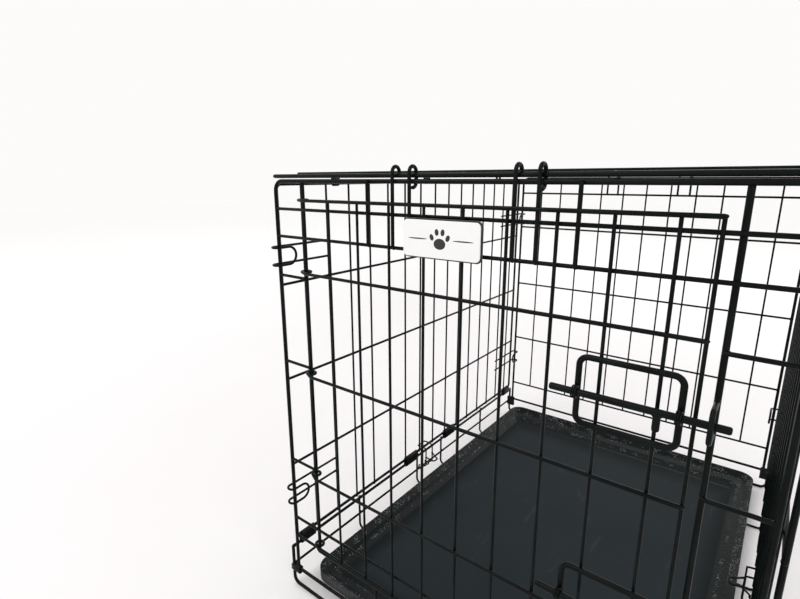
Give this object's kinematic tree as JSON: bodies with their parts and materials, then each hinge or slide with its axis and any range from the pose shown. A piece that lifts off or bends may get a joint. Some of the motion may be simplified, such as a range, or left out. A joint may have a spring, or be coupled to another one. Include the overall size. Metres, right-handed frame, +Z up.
{
  "type": "wire dog crate",
  "caption": "Folding wire dog crate with a hinged door, slide bolts, a hinged top panel and a pull-out plastic pan.",
  "frame": {"origin": "under the middle of the base, on the flat underside of the middle floor wire, level with the floor", "axes": "+X to the right as seen from the door end, +Y from the door end towards the back end, +Z up"},
  "size_m": [0.4756, 0.6322, 0.5138],
  "materials": {
    "coated_wire": "black semi-gloss coating on steel wire",
    "clip_steel": "black coated sheet steel",
    "pan_plastic": "charcoal moulded plastic",
    "white_plastic": "white plastic plate, left blank",
    "black_plastic": "black plastic backing"
  },
  "bodies": {
    "base": {"base_frame": "coated_wire", "left_wall": "coated_wire", "right_wall": "coated_wire", "hinge_clip_left_back": "clip_steel", "hinge_clip_left_front": "clip_steel", "hinge_clip_right_back": "clip_steel", "hinge_clip_right_front": "clip_steel", "sleeve_left_back": "clip_steel", "sleeve_left_front": "clip_steel", "sleeve_left_mid_back": "clip_steel", "sleeve_left_mid_front": "clip_steel", "sleeve_right_back": "clip_steel", "sleeve_right_front": "clip_steel", "sleeve_right_mid_back": "clip_steel", "sleeve_right_mid_front": "clip_steel", "top_hinge_ring_1": "clip_steel", "top_hinge_ring_2": "clip_steel", "top_hinge_ring_3": "clip_steel"},
    "pan": {"pan": "pan_plastic"},
    "front_wall": {"front_wall": "coated_wire"},
    "door": {"door": "coated_wire", "sign_back": "black_plastic", "sign_plate": "white_plastic"},
    "bolt_upper": {"bolt_upper": "coated_wire"},
    "bolt_lower": {"bolt_lower": "coated_wire"},
    "back_wall": {"back_wall": "coated_wire"},
    "top_panel": {"top_panel": "coated_wire"},
    "left_lock": {"left_lock": "coated_wire"},
    "right_lock": {"right_lock": "coated_wire"}
  },
  "joints": [
    {"name": "pan_slide", "type": "slide", "parent": "base", "child": "pan", "axis": [0, -1, 0], "range_m": [0, 0.58]},
    {"name": "front_wall_fold", "type": "hinge", "parent": "base", "child": "front_wall", "pos_m": [0, -0.302, 0.024], "axis": [-1, 0, 0], "range_deg": [0, 90]},
    {"name": "door_hinge", "type": "hinge", "parent": "front_wall", "child": "door", "pos_m": [-0.1848, -0.2998, 0.28], "axis": [0, 0, -1], "range_deg": [0, 90]},
    {"name": "bolt_upper_slide", "type": "slide", "parent": "door", "child": "bolt_upper", "axis": [-1, 0, 0], "range_m": [0, 0.024]},
    {"name": "bolt_lower_slide", "type": "slide", "parent": "door", "child": "bolt_lower", "axis": [-1, 0, 0], "range_m": [0, 0.024]},
    {"name": "back_wall_fold", "type": "hinge", "parent": "base", "child": "back_wall", "pos_m": [0, 0.302, 0.033], "axis": [1, 0, 0], "range_deg": [0, 82.2]},
    {"name": "top_panel_hinge", "type": "hinge", "parent": "base", "child": "top_panel", "pos_m": [-0.2312, 0, 0.5049], "axis": [0, -1, 0], "range_deg": [0, 110]},
    {"name": "left_lock_hinge", "type": "hinge", "parent": "base", "child": "left_lock", "pos_m": [-0.2312, -0.02076, 0.028], "axis": [0, 1, 0], "range_deg": [0, 25]},
    {"name": "right_lock_hinge", "type": "hinge", "parent": "base", "child": "right_lock", "pos_m": [0.2312, -0.02076, 0.028], "axis": [0, -1, 0], "range_deg": [0, 25]}
  ]
}
